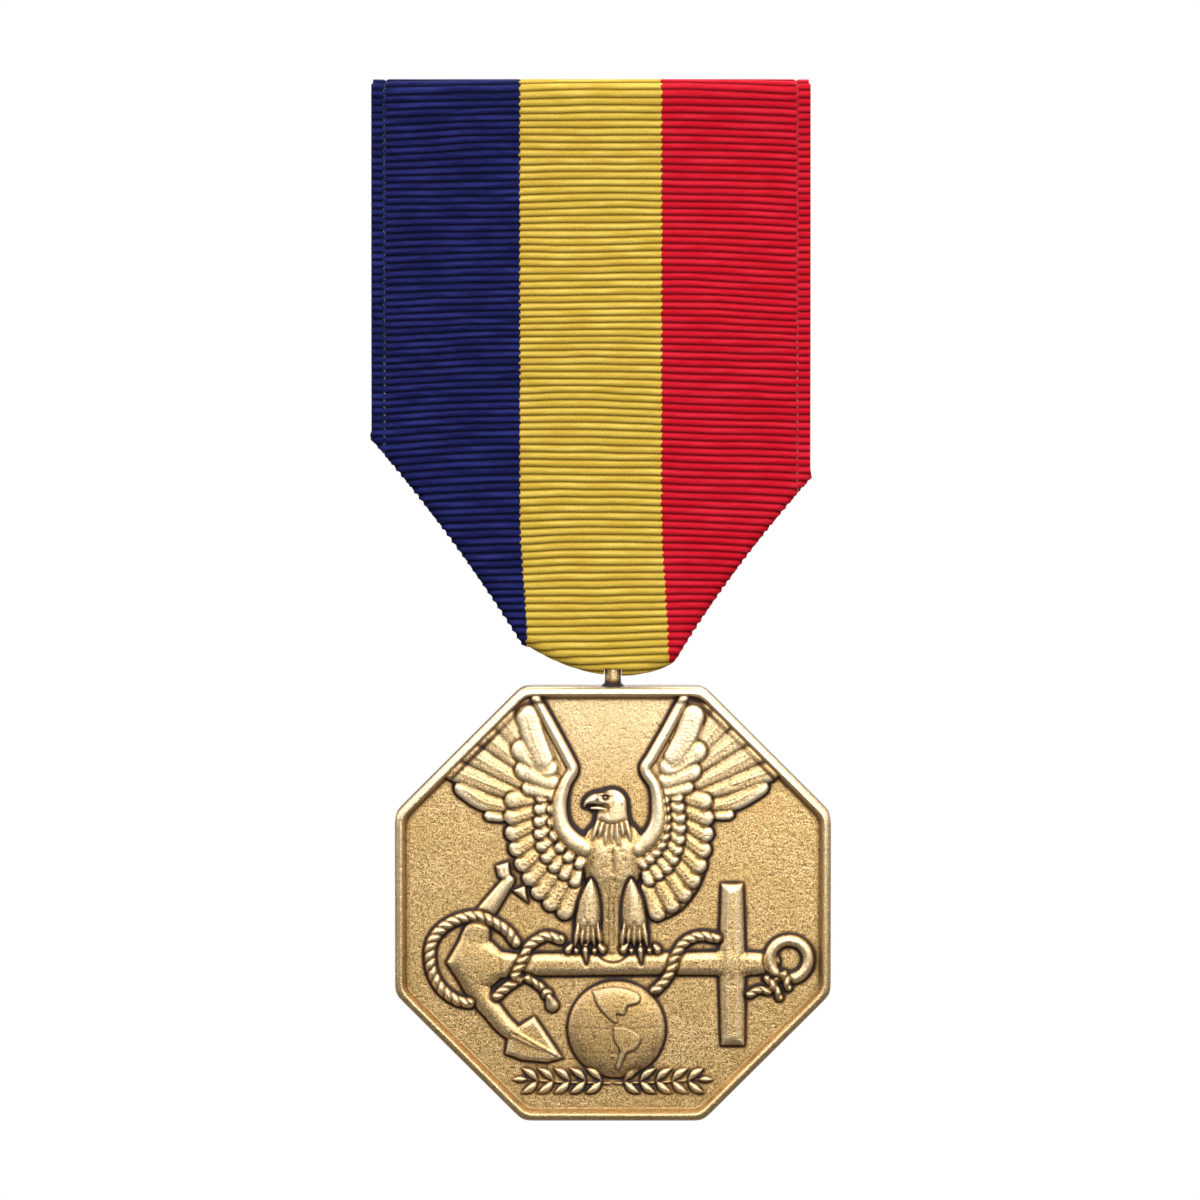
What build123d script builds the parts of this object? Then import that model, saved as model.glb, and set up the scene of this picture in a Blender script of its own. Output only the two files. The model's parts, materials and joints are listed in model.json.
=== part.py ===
from build123d import *
import os
from math import cos, radians, sin

# A military service medal: a ribbon looped over the top rail of a slotted brooch plate, an octagonal bronze pendant
# hung in the ribbon's bottom fold by a T-shaped bar, and a hinged brooch pin with a turning safety catch on the back.
# Millimetres. +Z is up, +X is to the right as seen from the front, and the front faces -Y.
# The origin is on the brooch pin's axis, at the ribbon's centre line, and the medal hangs below it.

# ---- driving dimensions ----
ribbon_width = 34.93  # the standard 1 3/8 inch suspension ribbon
cloth = 0.45  # thickness of one ply of ribbon
ply_gap = 1.15  # space between the front and back plies
ribbon_top = 5.0  # top fold, above the pin's axis
ribbon_low = -42.4  # lowest point of the bottom fold

pendant_x = 1.75  # the pendant hangs a little right of the ribbon's centre line
across_flats = 34.8  # octagon
pendant_gap = 0.88  # daylight between the ribbon and the pendant
pendant_thickness = 3.0  # rim face to rim face
rim_width = 0.95
front_recess = 0.70  # rim face down to the front field
back_recess = 0.30
relief = 0.70  # height of the main struck shapes above the front field

bar_radius = 0.50  # cross bar held in the bottom fold
bar_length = 4.6
bar_lift = 1.35  # cross bar's axis above the ribbon's lowest point
stem_radius = 0.65
stem_socket = 1.2  # how far the stem goes into the pendant's top edge

plate_back = -1.5  # Y of the brooch plate's back face, in front of the pin
plate_width, plate_thickness = 33.4, 0.8
plate_low = -4.5
slot_low, slot_high, slot_width = 2.0, 3.2, 31.4  # slot that the ribbon passes through, under the top rail
slack = 0.10  # play between the ribbon and the plate

pin_radius = 0.45
pin_clearance = 0.06  # running clearance of the hinge and of the catch
hinge_x, catch_x = 12.5, -12.5

# ---- dimensions that follow ----
half_width = ribbon_width / 2
plate_front = plate_back - plate_thickness
back_face = plate_front - 1.5 * slack  # ribbon's back face, below the slot
ribbon_depth = 2 * cloth + ply_gap
front_face = back_face - ribbon_depth
mid_y = back_face - ribbon_depth / 2  # plane of the cross bar and of the pendant's middle
pivot_z = ribbon_low + bar_lift
octagon_top = ribbon_low - pendant_gap
pendant_z = octagon_top - across_flats / 2
pendant_front = mid_y - pendant_thickness / 2
pendant_back = mid_y + pendant_thickness / 2
field_y = pendant_front + front_recess
octagon_radius = across_flats / 2 / cos(radians(22.5))

os.makedirs("parts", exist_ok=True)


def finish(part, name):
    """Labels a finished piece and writes its STEP file."""
    part.label = name
    export_step(part, f"parts/{name}.step")


def facing(y):
    """The plane that faces the front at a given Y: its local axes are the model's X and Z."""
    return Plane.XZ.offset(-y)


def on_pendant(y):
    """The same kind of plane, with its origin on the pendant's middle."""
    return Plane(origin=(pendant_x, y, pendant_z), x_dir=(1, 0, 0), z_dir=(0, -1, 0))


# ---- ribbon ----
# Seen from the front: the corners are folded in along two diagonals, so it narrows to a curved bottom fold.
left_corner, left_toe = (-half_width, -23.6), (-5.4, -40.1)
right_corner, right_toe = (half_width, -26.7), (6.9, -40.9)
lowest = (2.0, ribbon_low)
corner_radius, toe_radius = 3.0, 0.8
hollow = 0.4  # how far the middle of a diagonal fold is drawn in


def drape_outline(inset):
    """Front view of the ribbon, or of the room inside it when inset is the cloth's thickness."""

    def inside(point):
        x, z = point
        return (x + inset if x < 0 else x - inset, z + inset)

    def middle_of_fold(corner, toe, inward):
        return ((corner[0] + toe[0]) / 2 + inward, (corner[1] + toe[1]) / 2)

    corner_l, toe_l, toe_r, corner_r = map(inside, (left_corner, left_toe, right_toe, right_corner))
    side = corner_r[0]
    with BuildSketch() as outline:
        with BuildLine():
            ThreePointArc(corner_l, middle_of_fold(corner_l, toe_l, hollow), toe_l)
            ThreePointArc(toe_l, inside(lowest), toe_r)
            ThreePointArc(toe_r, middle_of_fold(corner_r, toe_r, -hollow), corner_r)
            Polyline(corner_r, (side, ribbon_top), (-side, ribbon_top), corner_l)
        make_face()
        toes = outline.vertices().sort_by(Axis.Y)[0:2]
        fillet(toes, toe_radius)
        corners = outline.vertices().filter_by(lambda v: abs(v.X) > side - 0.01 and v.Y < 0)
        fillet(corners, corner_radius)
    return outline.sketch


def folded_corner(corner, toe):
    """The triangle of cloth that a diagonal fold lays between the plies: the cut-off corner, mirrored in the fold."""
    along = (Vector(*toe) - Vector(*corner)).normalized()
    cut_off = Vector(corner[0], toe[1]) - Vector(*corner)
    tip = Vector(*corner) + along * (2 * cut_off.dot(along)) - cut_off
    return [corner, toe, (tip.X, tip.Y)]


with BuildSketch() as pocket_front:
    add(drape_outline(cloth))
    side_low = left_corner[1]
    with Locations((0, (side_low + ribbon_top) / 2)):
        Rectangle(ribbon_width + 4, ribbon_top - side_low + 1)
    for corner, toe in ((left_corner, left_toe), (right_corner, right_toe)):
        with BuildLine():
            Polyline(*folded_corner(corner, toe), close=True)
        make_face(mode=Mode.SUBTRACT)

# Seen from the side: up the front, over the plate's top rail, forward through its slot, and down to the fold again.
bend_start = -14.0  # above here the front ply leans back to the rail
crown_radius = 0.95  # outside radius of the folds over the rail
turn_radius = 0.55  # the same, where the cloth turns forward into the slot
under_slot_cloth = (slot_low + slot_high) / 2 - cloth / 2
crown_front = back_face - 2 * cloth - slack
crown_back = plate_back + slack + cloth


def loop_section(inset):
    """Section in Y and Z of the loop's outside, or of the room inside it when inset is the cloth's thickness."""
    front, back = front_face + inset, back_face - inset
    lean, behind = crown_front + inset, crown_back - inset
    top, floor, bottom = ribbon_top - inset, under_slot_cloth + inset, ribbon_low - 1
    crown_low = ribbon_top - 1.2 * crown_radius
    with BuildSketch(Plane.YZ.offset(-full / 2)) as section:
        with BuildLine():
            Line((front, bottom), (front, bend_start))
            Bezier((front, bend_start), (front, -6), (lean, -4), (lean, crown_low))
            Polyline(
                (lean, crown_low),
                (lean, top),
                (behind, top),
                (behind, floor),
                (back, floor),
                (back, bottom),
                (front, bottom),
            )
        make_face()
        fillet(section.vertices().filter_by(lambda v: v.Y > top - 0.01), crown_radius - inset)
        turn = section.vertices().filter_by(lambda v: v.X > behind - 0.01).sort_by(Axis.Y)[0]
        fillet(turn, turn_radius - inset)
    return section.sketch


lap_low, lap_height = -18.0, 7.0  # the ribbon's ends overlap on the back, under the brooch
slit_width = 2 * stem_radius + 0.3
slit_above_pivot = 0.4
fold_rounding = 0.5  # of the bottom fold's edges
full = ribbon_width + 10  # wider than anything it cuts

with BuildPart() as pocket:
    extrude(loop_section(cloth), amount=full)
    with BuildSketch(facing(0)):
        add(pocket_front.sketch)
    extrude(amount=full, mode=Mode.INTERSECT)

with BuildPart() as ribbon:
    extrude(loop_section(0), amount=full)
    with BuildSketch(facing(0)):
        add(drape_outline(0))
    extrude(amount=full, mode=Mode.INTERSECT)
    fold = ribbon.edges().filter_by(lambda e: e.center().Z < ribbon_low + 1.6 and e.length > 5)
    fillet(fold, fold_rounding)
    add(pocket.part, mode=Mode.SUBTRACT)
    # the cloth is gathered in to pass the slot
    notch_height = slot_high - slot_low + 2 * slack
    notch_depth = 10
    for side in (-1, 1):
        notch_x = side * (slot_width / 2 - 2 * slack + notch_depth / 2)
        with Locations((notch_x, back_face + notch_depth / 2, (slot_low + slot_high) / 2)):
            Box(notch_depth, notch_depth, notch_height, mode=Mode.SUBTRACT)
    # the slit in the bottom fold that lets the stem through, long enough for it to swing
    slit_height = 4.0
    with Locations((pendant_x, mid_y, pivot_z + slit_above_pivot - slit_height / 2)):
        Box(slit_width, ribbon_depth + 1, slit_height, mode=Mode.SUBTRACT)
    # the lap of the two ends
    with Locations((0, back_face + cloth / 2, lap_low + lap_height / 2)):
        Box(ribbon_width, cloth, lap_height)
finish(ribbon.part, "ribbon")

# ---- stitches ----
thread = 0.14  # radius
stitch_length, stitch_pitch = 1.3, 2.0


def stitch_row(name, count, x, y, z):
    """A straight row of stitches lying on the cloth, each one its own round-ended solid."""
    with BuildPart() as row:
        for i in range(count):
            middle = x + (i - (count - 1) / 2) * stitch_pitch
            with Locations(Location((middle, y + thread, z), (0, 90, 0))):
                Cylinder(thread, stitch_length)
            with Locations(
                (middle - stitch_length / 2, y + thread, z),
                (middle + stitch_length / 2, y + thread, z),
            ):
                Sphere(thread)
    finish(row.part, name)


stitch_row("lap_stitches", 16, 0, back_face + cloth, lap_low + 1.0)
stitch_row("fold_stitches", 4, 0.75, back_face, -38.6)

# ---- pendant ----
globe_centre, globe_radius = (0.4, -10.2), 4.0
stock_centre, stock_size = (9.65, -5.0), (2.1, 12.9)
shank_middle, shank_size = (1.35, -4.85), (23.7, 1.8)
ring_centre, ring_outer, ring_inner = (14.0, -4.6), 2.05, 1.15
crescent_outside = ((-8.6, 2.1), (-13.0, -4.8), (-8.0, -12.0))
crescent_inside = ((-6.9, -11.2), (-10.3, -4.8), (-7.6, 1.5))

with BuildPart() as planchet:
    with BuildSketch(on_pendant(pendant_back)):
        RegularPolygon(octagon_radius, 8, rotation=22.5)
    extrude(amount=pendant_thickness)
    fillet(planchet.faces().filter_by(Axis.Y).edges(), 0.3)
    with BuildSketch() as field:
        RegularPolygon(octagon_radius - rim_width / cos(radians(22.5)), 8, rotation=22.5)
    with BuildSketch(on_pendant(pendant_front)):
        add(field.sketch)
    extrude(amount=-front_recess, mode=Mode.SUBTRACT)
    with BuildSketch(on_pendant(pendant_back)):
        add(field.sketch)
    extrude(amount=back_recess, mode=Mode.SUBTRACT)
    # anchor, lying on its side
    with BuildSketch(on_pendant(field_y)):
        with Locations(stock_centre):
            Rectangle(*stock_size)
        with Locations(shank_middle):
            Rectangle(*shank_size)
        with Locations(ring_centre):
            Circle(ring_outer)
            Circle(ring_inner, mode=Mode.SUBTRACT)
        with BuildLine():
            ThreePointArc(*crescent_outside)
            Line(crescent_outside[-1], crescent_inside[0])
            ThreePointArc(*crescent_inside)
            Line(crescent_inside[-1], crescent_outside[0])
        make_face()
        for fluke in (
            ((-3.9, -12.5), (-8.6, -12.3), (-6.2, -9.3)),
            ((-9.0, 3.3), (-7.6, 3.6), (-6.4, 0.6), (-8.2, 1.0)),
        ):
            with BuildLine():
                Polyline(*fluke, close=True)
            make_face()
    extrude(amount=relief * 0.8)
    # globe
    with BuildSketch(on_pendant(field_y)):
        with Locations(globe_centre):
            Circle(globe_radius)
    extrude(amount=relief, taper=25)
    # eagle: left wing, head, right wing, feet
    with BuildSketch(on_pendant(field_y)):
        with BuildLine():
            Spline((-2.6, -1.6), (-5.6, -0.3), (-8.0, 2.6), (-8.6, 6.4))
            Spline((-8.6, 6.4), (-10.6, 7.6), (-12.3, 10.6))
            Polyline((-12.3, 10.6), (-8.0, 15.2), (-5.9, 16.0), (-2.8, 10.6), (-3.5, 9.4), (-3.4, 6.3))
            Spline((-3.4, 6.3), (-2.7, 5.3), (-1.6, 5.6), (-2.2, 7.5))
            ThreePointArc((-2.2, 7.5), (-0.3, 9.4), (1.2, 7.4))
            Spline((1.2, 7.4), (1.6, 5.8), (2.3, 5.3), (3.0, 6.3))
            Polyline((3.0, 6.3), (2.9, 9.6), (2.2, 10.8), (5.4, 16.0), (8.4, 15.2), (13.0, 10.6))
            Spline((13.0, 10.6), (10.8, 7.6), (8.2, 6.2))
            Spline((8.2, 6.2), (7.9, 2.3), (5.6, -1.1), (3.2, -1.7))
            Polyline((3.2, -1.7), (3.0, -3.6), (-2.6, -3.6), (-2.6, -1.6))
        make_face()
    extrude(amount=relief * 0.9)
    # blind socket for the stem, down into the top edge
    with Locations((pendant_x, mid_y, octagon_top - stem_socket / 2)):
        Cylinder(stem_radius + 0.01, stem_socket, mode=Mode.SUBTRACT)
finish(planchet.part, "planchet")

# ---- suspension bar: a cross bar in the ribbon's fold, on a stem brazed into the pendant ----
stem_foot = octagon_top - stem_socket
stem_length = pivot_z - stem_foot
collar_height = 0.3
with BuildPart() as suspension:
    with Locations(Location((pendant_x, mid_y, pivot_z), (0, 90, 0))):
        Cylinder(bar_radius, bar_length)
    fillet(suspension.edges().filter_by(GeomType.CIRCLE), 0.2)
    with Locations((pendant_x, mid_y, stem_foot + stem_length / 2)):
        Cylinder(stem_radius, stem_length)
    with Locations((pendant_x, mid_y, octagon_top + collar_height / 2)):
        Cone(stem_radius + 0.3, stem_radius, collar_height)
finish(suspension.part, "suspension_bar")

# ---- brooch plate ----
rail_top = ribbon_top - cloth - slack
with BuildPart() as plate:
    with BuildSketch(facing(plate_back)):
        with Locations((0, (plate_low + rail_top) / 2)):
            RectangleRounded(plate_width, rail_top - plate_low, 0.9)
        with Locations((0, (slot_low + slot_high) / 2)):
            Rectangle(slot_width, slot_high - slot_low, mode=Mode.SUBTRACT)
    extrude(amount=plate_thickness)
    fillet(plate.faces().sort_by(Axis.Z)[-1].edges().filter_by(Axis.X), 0.3)
finish(plate.part, "brooch_plate")

# ---- hinge: a base with two ears, a headed rivet, and the pin's barrel between the ears ----
bracket_length, bracket_height, base_thickness = 3.0, 3.2, 0.4
ear_gap, ear_thickness, ear_radius = 2.2, 0.45, 0.95
rivet_radius = 0.36
base_back = plate_back + base_thickness

with BuildPart() as bracket:
    with Locations((hinge_x, (plate_back + base_back) / 2, 0)):
        Box(bracket_length, base_thickness, bracket_height)
    for side in (-1, 1):
        ear_middle = side * (ear_gap + ear_thickness) / 2
        with BuildSketch(Plane.XY.offset(ear_middle - ear_thickness / 2)):
            with Locations((hinge_x, 0)):
                Circle(ear_radius)
            with Locations((hinge_x, base_back / 2)):
                Rectangle(2 * ear_radius, -base_back)
            with Locations((hinge_x, 0)):
                Circle(rivet_radius + 0.01, mode=Mode.SUBTRACT)
        extrude(amount=ear_thickness)
finish(bracket.part, "hinge_bracket")

head_radius, head_height = 0.62, 0.28
under_head = ear_gap / 2 + ear_thickness + 0.02
with BuildPart() as rivet:
    with Locations((hinge_x, 0, 0)):
        Cylinder(rivet_radius, 2 * under_head)
    for side in (-1, 1):
        with Locations((hinge_x, 0, side * (under_head + head_height / 2))):
            Cylinder(head_radius, head_height)
    crowns = rivet.edges().filter_by(GeomType.CIRCLE).group_by(Axis.Z)
    fillet(crowns[0] + crowns[-1], 0.15)
finish(rivet.part, "hinge_rivet")

barrel_radius, barrel_height = 0.9, ear_gap - 2 * pin_clearance
taper_start, pin_tip, tip_radius = -10.5, -15.2, 0.06
with BuildPart() as pin:
    with Locations((hinge_x, 0, 0)):
        Cylinder(barrel_radius, barrel_height)
    with Locations(Location(((hinge_x + taper_start) / 2, 0, 0), (0, 90, 0))):
        Cylinder(pin_radius, hinge_x - taper_start)
    with Locations(Location(((taper_start + pin_tip) / 2, 0, 0), (0, -90, 0))):
        Cone(pin_radius, tip_radius, taper_start - pin_tip)
    with Locations((hinge_x, 0, 0)):
        Cylinder(rivet_radius + pin_clearance, barrel_height, mode=Mode.SUBTRACT)
finish(pin.part, "brooch_pin")

# ---- safety catch: a C-shaped housing on a foot, and a slotted rotor that turns in it to shut the pin in ----
housing_length, housing_outer, housing_inner = 1.2, 1.75, 1.2
mouth_half_angle = 65  # the mouth faces away from the plate
foot_width, foot_thickness = 3.6, 0.4
rotor_hole, rotor_slot = 0.60, 1.1
flange_radius, flange_thickness = 1.35, 0.3
tab_angle, tab_thickness, tab_reach = 50, 0.45, 2.7
rotor_length = housing_length + 2 * pin_clearance
spool_length = rotor_length + 2 * flange_thickness


def on_catch(x):
    """The plane across the catch's axis at a given X: its local axes are the model's Y and Z."""
    return Plane(origin=(x, 0, 0), x_dir=(0, 1, 0), z_dir=(1, 0, 0))


with BuildPart() as housing:
    with BuildSketch(on_catch(catch_x - housing_length / 2)):
        Circle(housing_outer)
        with Locations((plate_back - 5, 0)):
            Rectangle(10, 20, mode=Mode.SUBTRACT)
        with Locations((plate_back + foot_thickness / 2, 0)):
            Rectangle(foot_thickness, foot_width)
        Circle(housing_inner, mode=Mode.SUBTRACT)
        mouth_y = 4 * cos(radians(mouth_half_angle))
        mouth_z = 4 * sin(radians(mouth_half_angle))
        with BuildLine():
            Polyline((0, 0), (mouth_y, mouth_z), (8, mouth_z), (8, -mouth_z), (mouth_y, -mouth_z), close=True)
        make_face(mode=Mode.SUBTRACT)
    extrude(amount=housing_length)
finish(housing.part, "catch_housing")

with BuildPart() as rotor:
    with BuildSketch(on_catch(catch_x - rotor_length / 2)):
        Circle(housing_inner - pin_clearance)
    extrude(amount=rotor_length)
    for side in (-1, 1):
        flange_middle = catch_x + side * (rotor_length + flange_thickness) / 2
        with BuildSketch(on_catch(flange_middle - flange_thickness / 2)):
            Circle(flange_radius)
        extrude(amount=flange_thickness)
    tab_middle = Vector(0, (rotor_hole + tab_reach) / 2, 0).rotate(Axis.X, tab_angle)
    with Locations(Location((catch_x, tab_middle.Y, tab_middle.Z), (tab_angle, 0, 0))):
        Box(housing_length - 0.1, tab_reach - rotor_hole, tab_thickness)
    with Locations(Location((catch_x, 0, 0), (0, 90, 0))):
        Cylinder(rotor_hole, spool_length, mode=Mode.SUBTRACT)
    with Locations((catch_x, tab_reach / 2, 0)):
        Box(spool_length, tab_reach, rotor_slot, mode=Mode.SUBTRACT)
finish(rotor.part, "catch_lock")
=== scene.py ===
import json
import math

import bmesh
import bpy
import numpy as np
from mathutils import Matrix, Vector


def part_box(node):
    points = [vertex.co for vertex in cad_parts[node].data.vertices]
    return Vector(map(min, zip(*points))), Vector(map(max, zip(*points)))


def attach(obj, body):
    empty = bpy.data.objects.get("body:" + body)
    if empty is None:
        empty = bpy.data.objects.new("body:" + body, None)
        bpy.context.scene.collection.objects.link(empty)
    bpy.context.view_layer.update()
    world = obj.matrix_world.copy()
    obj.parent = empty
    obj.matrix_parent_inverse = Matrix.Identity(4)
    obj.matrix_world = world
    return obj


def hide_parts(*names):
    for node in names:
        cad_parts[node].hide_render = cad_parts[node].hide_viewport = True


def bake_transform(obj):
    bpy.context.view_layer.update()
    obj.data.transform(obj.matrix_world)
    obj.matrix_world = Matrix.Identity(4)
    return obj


# The medal's looks around its CAD frame: a struck bronze pendant made as a height field, a ribbed ribbon
# folded as one strip of cloth, and finishes for the brooch on the back. Lengths in the helpers are
# millimetres in the frame's axes (+X right, +Z up, the front faces -Y), turned into metres in a mesh.

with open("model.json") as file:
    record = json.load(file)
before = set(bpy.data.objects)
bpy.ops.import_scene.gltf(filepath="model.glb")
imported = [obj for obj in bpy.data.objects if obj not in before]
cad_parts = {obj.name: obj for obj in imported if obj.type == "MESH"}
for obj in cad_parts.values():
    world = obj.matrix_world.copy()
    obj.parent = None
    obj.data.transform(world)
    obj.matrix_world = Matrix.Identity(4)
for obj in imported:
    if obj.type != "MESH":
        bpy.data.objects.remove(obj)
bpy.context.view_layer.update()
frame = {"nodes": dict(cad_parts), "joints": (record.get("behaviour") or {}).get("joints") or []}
MM = 0.001
TAU = 2 * math.pi


def box_mm(node):
    """Lowest and highest corner of a CAD node, in millimetres."""
    low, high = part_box(node)
    return np.array(low) / MM, np.array(high) / MM


# ---- places, from the frame ----
PENDANT_LOW, PENDANT_HIGH = box_mm("planchet")
PENDANT_MIDDLE = (PENDANT_LOW + PENDANT_HIGH) / 2
APOTHEM = (PENDANT_HIGH[0] - PENDANT_LOW[0]) / 2
RIBBON_LOW, RIBBON_HIGH = box_mm("ribbon")
BREADTH = RIBBON_HIGH[0] - RIBBON_LOW[0]
SWING = next(j for j in frame["joints"] if j["name"] == "pendant_swing")
PIVOT = np.array(SWING["pos_m"]) / MM

# ---- sizes that the CAD part also uses, in millimetres ----
RIM_WIDTH = 0.95
FRONT_RECESS = 0.7  # rim face down to the front field
BACK_RECESS = 0.3
CLOTH = 0.45  # one ply of ribbon
PLY_STEP = 1.6  # between the middles of the front and back plies
LEFT_CORNER, LEFT_TOE = (-17.465, -23.6), (-5.4, -40.1)
RIGHT_CORNER, RIGHT_TOE = (17.465, -26.7), (6.9, -40.9)
LOWEST_X = 2.0
FOLD_HOLLOW = 0.4
LAP_HIGH, LAP_LOW = -11.0, -18.0
SLOT_Z = 2.6
SLOT_SQUEEZE = 0.885  # the cloth's width in the plate's slot, as a share of its full width


# ---- small helpers ----
def smoothstep(low, high, value):
    t = np.clip((value - low) / (high - low), 0, 1)
    return t * t * (3 - 2 * t)


def smooth_path(points, spacing=0.15):
    """Catmull-Rom curve through the points; extra columns, such as width and height, are carried along."""
    p = np.array(points, float)
    ends = np.vstack([2 * p[0] - p[1], p, 2 * p[-1] - p[-2]])
    parts = []
    for p0, p1, p2, p3 in zip(ends[:-3], ends[1:-2], ends[2:-1], ends[3:]):
        count = max(2, int(math.hypot(*(p2 - p1)[:2]) / spacing))
        t = np.linspace(0, 1, count, endpoint=False)[:, None]
        parts.append(
            0.5 * (2 * p1 + (p2 - p0) * t + (2 * p0 - 5 * p1 + 4 * p2 - p3) * t**2
                   + (3 * p1 - p0 - 3 * p2 + p3) * t**3)
        )
    return np.vstack(parts + [p[-1:]])


def spread(points, count):
    """Points at equal steps along a smooth curve."""
    path = smooth_path(points)
    steps = np.hypot(*np.diff(path[:, :2], axis=0).T)
    length = np.concatenate([[0], np.cumsum(steps)])
    at = np.linspace(0, length[-1], count)
    return np.array([np.interp(at, length, column) for column in path.T]).T


def value_noise(x, z, seed):
    """Smooth noise from -1 to 1 with features about one unit wide."""
    table = np.random.default_rng(seed).uniform(-1, 1, (64, 64))
    i, j = np.floor(x).astype(int), np.floor(z).astype(int)
    u, v = x - i, z - j
    u, v = u * u * (3 - 2 * u), v * v * (3 - 2 * v)
    a, b = table[i % 64, j % 64], table[(i + 1) % 64, j % 64]
    c, d = table[i % 64, (j + 1) % 64], table[(i + 1) % 64, (j + 1) % 64]
    return (a * (1 - u) + b * u) * (1 - v) + (c * (1 - u) + d * u) * v


def blurred(field, cells):
    """Gaussian blur by separable convolution."""
    reach = int(3 * cells)
    kernel = np.exp(-0.5 * (np.arange(-reach, reach + 1) / cells) ** 2)
    kernel /= kernel.sum()

    def blur_line(line):
        return np.convolve(np.pad(line, reach, mode="edge"), kernel, "valid")

    return np.apply_along_axis(blur_line, 0, np.apply_along_axis(blur_line, 1, field))


def octagon_norm(x, z):
    """How far out a point lies, square to the nearest side of an octagon with slightly rounded corners."""
    diagonal = math.sqrt(0.5)
    sides = np.stack([np.abs(x), np.abs(z), diagonal * np.abs(x + z), diagonal * np.abs(x - z)])
    most = np.maximum(sides.max(axis=0), 1e-9)
    return most * ((sides / most) ** 100).sum(axis=0) ** 0.01


# ---- relief toolkit ----
GROOVE_CUT = 0.13  # depth of the chased line round every struck shape
GROOVE_REACH = 0.16
INK_OUT, INK_IN = 0.17, 0.06  # how far patina spreads outside and inside an outline


class Relief:
    """Height above the pendant's field, and patina, on a square map in millimetres about its middle."""

    def __init__(self, reach, step):
        ticks = np.arange(-reach, reach + step / 2, step)
        self.reach, self.step, self.size = reach, step, len(ticks)
        self.x, self.z = np.meshgrid(ticks, ticks)
        self.height = np.zeros_like(self.x)
        self.ink = np.zeros_like(self.x)

    def window(self, points, margin):
        low = np.min(points, axis=0) - margin + self.reach
        high = np.max(points, axis=0) + margin + self.reach
        first = np.clip(np.floor(low / self.step).astype(int), 0, self.size)
        last = np.clip(np.ceil(high / self.step).astype(int) + 1, 0, self.size)
        return slice(first[1], last[1]), slice(first[0], last[0])

    def lay(self, win, top, gap, ink=0.0, cut=GROOVE_CUT, dark=0.6):
        """Lays a shape over what is there. gap is the distance outside its outline, and is negative inside.
        dark is how strongly patina marks the outline."""
        inside = gap < 0
        before = self.height[win]
        outside = np.maximum(gap, 0)
        cut_to = np.minimum(before, np.maximum(before - cut * np.exp(-((outside / GROOVE_REACH) ** 2)), -cut))
        self.height[win] = np.where(inside, np.maximum(top, cut_to), cut_to)
        line = dark * np.exp(-((gap / np.where(inside, INK_IN, INK_OUT)) ** 2))
        self.ink[win] = np.where(inside, np.maximum(line, ink), np.maximum(self.ink[win], line))

    def bar(self, path, power=2.0, win=None):
        """A tapering bar along (x, z, half width, height). Returns window, top, gap, run along, side."""
        path = np.asarray(path)
        if win is None:
            win = self.window(path[:, :2], path[:, 2].max() + 3 * GROOVE_REACH)
        x, z = self.x[win], self.z[win]
        gap = np.full(x.shape, np.inf)
        along, side, radius, height = (np.zeros_like(x) for _ in range(4))
        start = 0.0
        for a, b in zip(path[:-1], path[1:]):
            run = b[:2] - a[:2]
            length = math.hypot(*run)
            if length < 1e-9:
                continue
            t = np.clip(((x - a[0]) * run[0] + (z - a[1]) * run[1]) / length**2, 0, 1)
            dx, dz = x - a[0] - t * run[0], z - a[1] - t * run[1]
            distance, r = np.hypot(dx, dz), a[2] + t * (b[2] - a[2])
            closer = distance - r < gap
            gap = np.where(closer, distance - r, gap)
            along = np.where(closer, start + t * length, along)
            side = np.where(closer, np.sign(run[0] * dz - run[1] * dx) * distance / r, side)
            radius = np.where(closer, r, radius)
            height = np.where(closer, a[3] + t * (b[3] - a[3]), height)
            start += length
        across = np.clip(1 + gap / radius, 0, 1)
        return win, height * (1 - across**power) ** (1 / power), gap, along, side

    def stroke(self, points, power=2.0, **how):
        win, top, gap, _, _ = self.bar(smooth_path(points), power)
        self.lay(win, top, gap, **how)

    def ball(self, x, z, radius, height, power=2.0, **how):
        win = self.window([(x, z)], radius + 3 * GROOVE_REACH)
        gap = np.hypot(self.x[win] - x, self.z[win] - z) - radius
        across = np.clip(1 + gap / radius, 0, 1)
        self.lay(win, height * (1 - across**power) ** (1 / power), gap, **how)

    def outline_gap(self, outline, win):
        """Signed distance to a closed outline, negative inside."""
        x, z = self.x[win], self.z[win]
        inside = np.zeros(x.shape, bool)
        nearest = np.full(x.shape, np.inf)
        for a, b in zip(outline, np.roll(outline, -1, axis=0)):
            run = b - a
            t = np.clip(((x - a[0]) * run[0] + (z - a[1]) * run[1]) / max(run @ run, 1e-12), 0, 1)
            nearest = np.minimum(nearest, np.hypot(x - a[0] - t * run[0], z - a[1] - t * run[1]))
            crosses = (a[1] > z) != (b[1] > z)
            if abs(run[1]) > 1e-12:
                inside ^= crosses & (x < a[0] + (z - a[1]) * run[0] / run[1])
        return np.where(inside, -nearest, nearest)

    def plate(self, outline, height, bevel, smooth=True, win=None, base=0.0):
        """A flat-topped shape in a closed outline, rounded over the bevel. Returns window, top, gap."""
        outline = np.array(outline, float)
        if smooth:
            outline = smooth_path(np.vstack([outline, outline[:1]]))[:-1]
        if win is None:
            win = self.window(outline, 3 * GROOVE_REACH)
        gap = self.outline_gap(outline, win)
        edge = np.clip(-gap / bevel, 0, 1)
        return win, base + (height - base) * np.sqrt(1 - (1 - edge) ** 2), gap

    def swell(self, x, z, radius, amount):
        """A soft additive rise or hollow."""
        win = self.window([(x, z)], radius)
        u = np.clip(np.hypot(self.x[win] - x, self.z[win] - z) / radius, 0, 1)
        self.height[win] += amount * (1 - u**2) ** 2

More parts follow.
